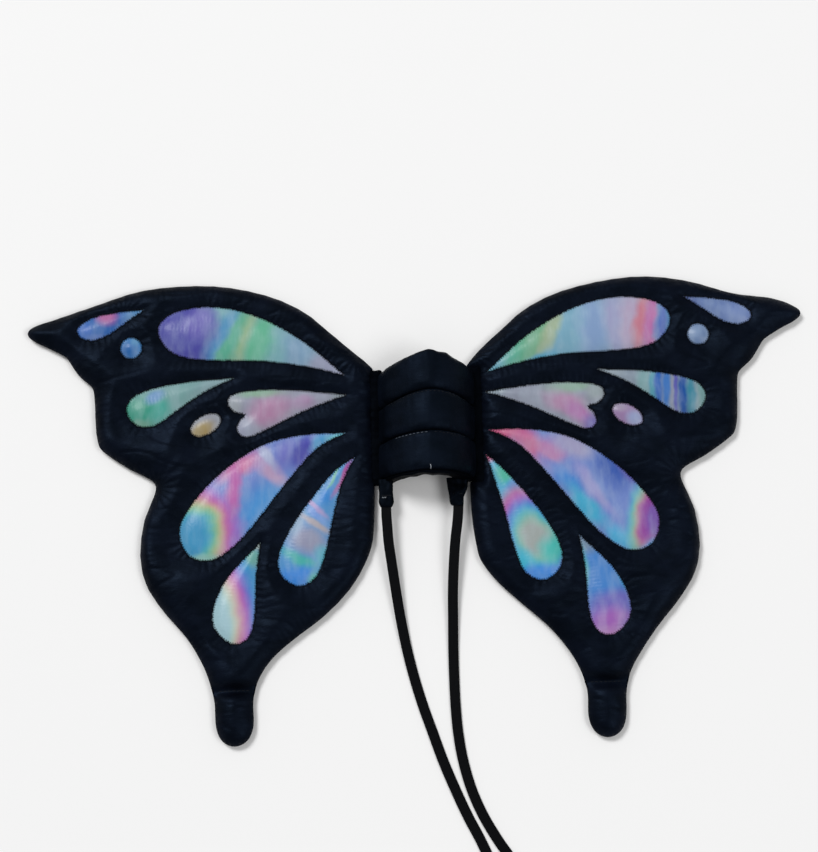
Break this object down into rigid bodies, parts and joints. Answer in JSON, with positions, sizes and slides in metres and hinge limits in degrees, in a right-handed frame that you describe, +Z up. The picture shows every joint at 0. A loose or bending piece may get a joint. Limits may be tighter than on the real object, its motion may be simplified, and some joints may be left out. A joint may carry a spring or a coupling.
{
  "type": "fairy wings",
  "caption": "Padded black butterfly costume wings with iridescent drop windows, an arched three-tier body band, hinged tails and two flat elastic ties.",
  "frame": {"origin": "centre of the wings' own box on the surface that their back rests on", "axes": "+X from the left wing tip to the right wing tip, +Y from the tails to the top edge, +Z up, out of the front of the wings"},
  "size_m": [0.702, 0.649, 0.0486],
  "materials": {
    "satin": "black polyester satin with a navy sheen",
    "lining": "matt black lining cloth",
    "tab_satin": "black satin, folded and edge-stitched",
    "wadding": "white polyester wadding",
    "thread": "black polyester thread",
    "elastic": "woven flat black elastic",
    "left_fore_film": "iridescent foil-laminated cloth, glossy",
    "left_tip_film": "iridescent foil-laminated cloth, glossy",
    "left_dot_film": "iridescent foil-laminated cloth, glossy",
    "left_mid_film": "iridescent foil-laminated cloth, glossy",
    "left_heart_film": "iridescent foil-laminated cloth, glossy",
    "left_oval_film": "iridescent foil-laminated cloth, glossy",
    "left_hind_film": "iridescent foil-laminated cloth, glossy",
    "left_inner_film": "iridescent foil-laminated cloth, glossy",
    "left_lower_film": "iridescent foil-laminated cloth, glossy",
    "right_fore_film": "iridescent foil-laminated cloth, glossy",
    "right_tip_film": "iridescent foil-laminated cloth, glossy",
    "right_dot_film": "iridescent foil-laminated cloth, glossy",
    "right_mid_film": "iridescent foil-laminated cloth, glossy",
    "right_heart_film": "iridescent foil-laminated cloth, glossy",
    "right_oval_film": "iridescent foil-laminated cloth, glossy",
    "right_hind_film": "iridescent foil-laminated cloth, glossy",
    "right_inner_film": "iridescent foil-laminated cloth, glossy",
    "right_lower_film": "iridescent foil-laminated cloth, glossy"
  },
  "bodies": {
    "body_band": {"upper_tier": "satin", "middle_tier": "satin", "lower_tier": "satin", "upper_tier_wadding": "wadding", "middle_tier_wadding": "wadding", "lower_tier_wadding": "wadding", "body_lining": "lining", "hem_binding": "tab_satin", "tier_stitching": "thread", "left_root_roll": "satin", "right_root_roll": "satin", "left_tab": "tab_satin", "right_tab": "tab_satin", "tab_stitching": "thread", "left_tie": "elastic", "right_tie": "elastic", "left_tie_knot": "elastic", "right_tie_knot": "elastic"},
    "left_wing": {"left_back_cover": "lining", "left_wadding": "wadding", "left_front_cover": "satin", "left_window_stitching": "thread", "left_fore_film": "left_fore_film", "left_tip_film": "left_tip_film", "left_dot_film": "left_dot_film", "left_mid_film": "left_mid_film", "left_heart_film": "left_heart_film", "left_oval_film": "left_oval_film", "left_hind_film": "left_hind_film", "left_inner_film": "left_inner_film", "left_lower_film": "left_lower_film", "left_crease_seam": "satin"},
    "right_wing": {"right_back_cover": "lining", "right_wadding": "wadding", "right_front_cover": "satin", "right_window_stitching": "thread", "right_fore_film": "right_fore_film", "right_tip_film": "right_tip_film", "right_dot_film": "right_dot_film", "right_mid_film": "right_mid_film", "right_heart_film": "right_heart_film", "right_oval_film": "right_oval_film", "right_hind_film": "right_hind_film", "right_inner_film": "right_inner_film", "right_lower_film": "right_lower_film", "right_crease_seam": "satin"},
    "left_tail": {"left_tail_back_cover": "lining", "left_tail_wadding": "wadding", "left_tail_front_cover": "satin"},
    "right_tail": {"right_tail_back_cover": "lining", "right_tail_wadding": "wadding", "right_tail_front_cover": "satin"}
  },
  "joints": [
    {"name": "left_wing_flap", "type": "hinge", "parent": "body_band", "child": "left_wing", "pos_m": [-0.036, 0.0715, 0.0125], "axis": [0, 1, 0], "range_deg": [-25, 80]},
    {"name": "right_wing_flap", "type": "hinge", "parent": "body_band", "child": "right_wing", "pos_m": [0.054, 0.0715, 0.0125], "axis": [0, -1, 0], "range_deg": [-25, 80]},
    {"name": "left_tail_bend", "type": "hinge", "parent": "left_wing", "child": "left_tail", "pos_m": [-0.1655, -0.16, 0.0015], "axis": [-1, 0, 0], "range_deg": [-30, 30]},
    {"name": "right_tail_bend", "type": "hinge", "parent": "right_wing", "child": "right_tail", "pos_m": [0.1595, -0.16, 0.0015], "axis": [-1, 0, 0], "range_deg": [-30, 30]}
  ]
}
